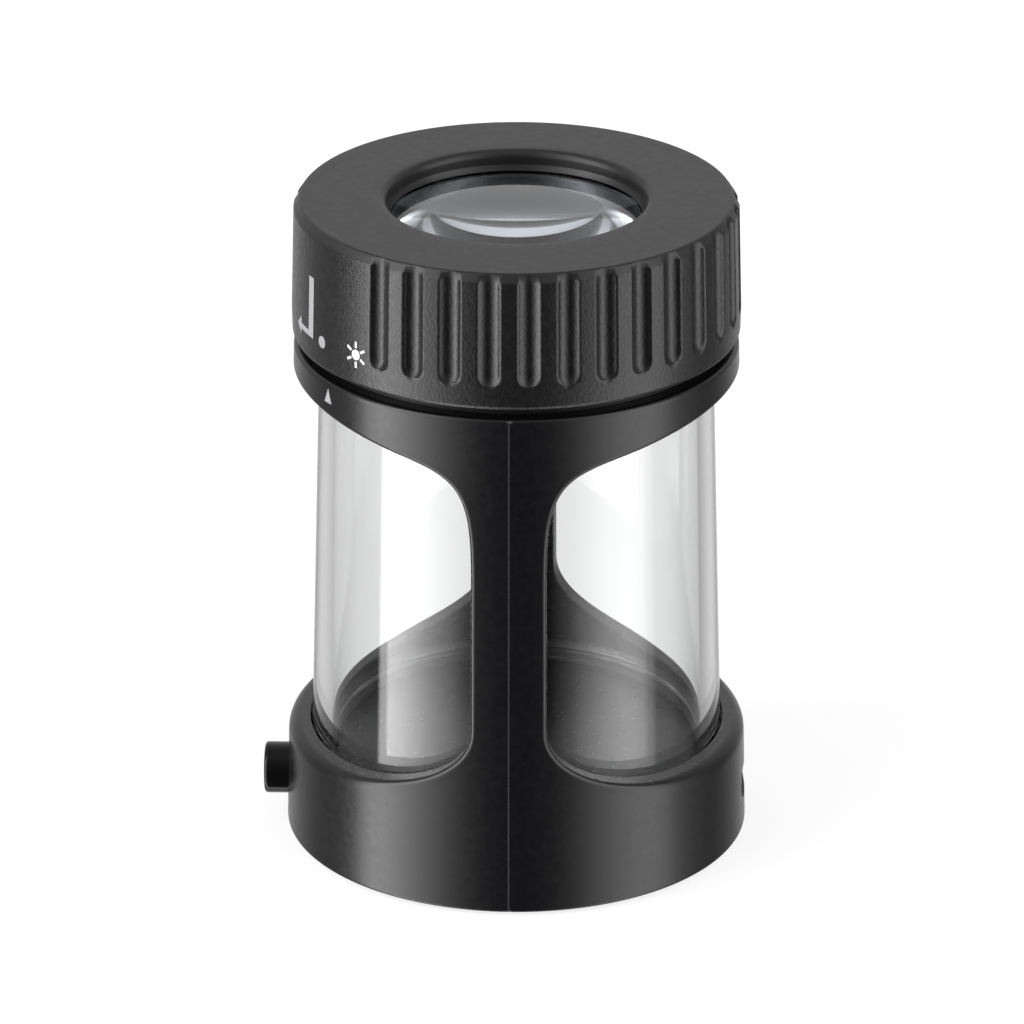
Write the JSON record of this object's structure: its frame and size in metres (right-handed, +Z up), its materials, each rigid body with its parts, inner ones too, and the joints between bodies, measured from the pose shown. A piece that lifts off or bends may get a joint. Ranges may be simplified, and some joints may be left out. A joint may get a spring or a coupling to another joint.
{
  "type": "magnifier viewing jar",
  "caption": "Small clear jar in a black two-window cage, with a push button and a charging socket in the base and a fluted, lit magnifier lid on a bayonet neck.",
  "frame": {"origin": "centre of the foot pad's underside, on the jar's axis", "axes": "+Z up along the jar's axis, -Y towards the front post with the cage's seam, -X towards the power button, +X towards the charging socket"},
  "size_m": [0.0683, 0.065, 0.0936],
  "materials": {
    "cage_black": "satin moulded",
    "lid_black": "fine moulded texture",
    "clear_sleeve": "clear polished",
    "lens_clear": "clear polished",
    "frosted_window": "frosted",
    "button_black": "polished",
    "inner_black": "satin moulded",
    "seal_rubber": "matt",
    "foot_rubber": "matt",
    "screw_steel": "plain",
    "board_green": "solder mask",
    "led_board_white": "solder mask",
    "led_yellow": "silicone over the chip",
    "battery_foil": "foil",
    "socket_steel": "plain",
    "contact_brass": "plated",
    "wire_red": "insulation",
    "wire_black": "insulation"
  },
  "bodies": {
    "cage": {"cage_half_left": "cage_black", "cage_half_right": "cage_black", "clear_sleeve": "clear_sleeve", "sleeve_bottom_seal": "seal_rubber", "sleeve_top_seal": "seal_rubber", "base_deck": "inner_black", "bayonet_neck": "lid_black", "neck_contact_positive": "contact_brass", "neck_contact_negative": "contact_brass", "bottom_cover": "inner_black", "foot_pad": "foot_rubber", "base_screw_1": "screw_steel", "base_screw_2": "screw_steel", "base_screw_3": "screw_steel", "base_screw_4": "screw_steel", "circuit_board": "board_green", "battery_cell": "battery_foil", "charging_socket": "socket_steel", "switch_body": "inner_black", "wire_positive": "wire_red", "wire_negative": "wire_black", "locating_peg_lower": "inner_black", "locating_peg_upper": "inner_black"},
    "lid_seal": {"lid_gasket": "seal_rubber"},
    "lid": {"lid_cap": "lid_black", "magnifier_lens": "lens_clear", "lens_retainer": "inner_black", "led_board": "led_board_white", "light_window": "frosted_window", "lid_contact_positive": "contact_brass", "lid_contact_negative": "contact_brass", "led_1": "led_yellow", "led_2": "led_yellow", "led_3": "led_yellow", "led_4": "led_yellow", "led_5": "led_yellow", "led_6": "led_yellow"},
    "button": {"power_button": "button_black", "switch_plunger": "inner_black"}
  },
  "joints": [
    {"name": "lid_lift", "type": "slide", "parent": "cage", "child": "lid_seal", "axis": [0, 0, 1], "range_m": [0, 0.04]},
    {"name": "lid_turn", "type": "hinge", "parent": "lid_seal", "child": "lid", "pos_m": [0, 0, 0.0785], "axis": [0, 0, 1], "range_deg": [-11.8, 2.4]},
    {"name": "button_press", "type": "slide", "parent": "cage", "child": "button", "axis": [1, 0, 0], "range_m": [0, 0.0008], "stiffness_N_per_m": 600, "springref_m": -0.0008}
  ]
}
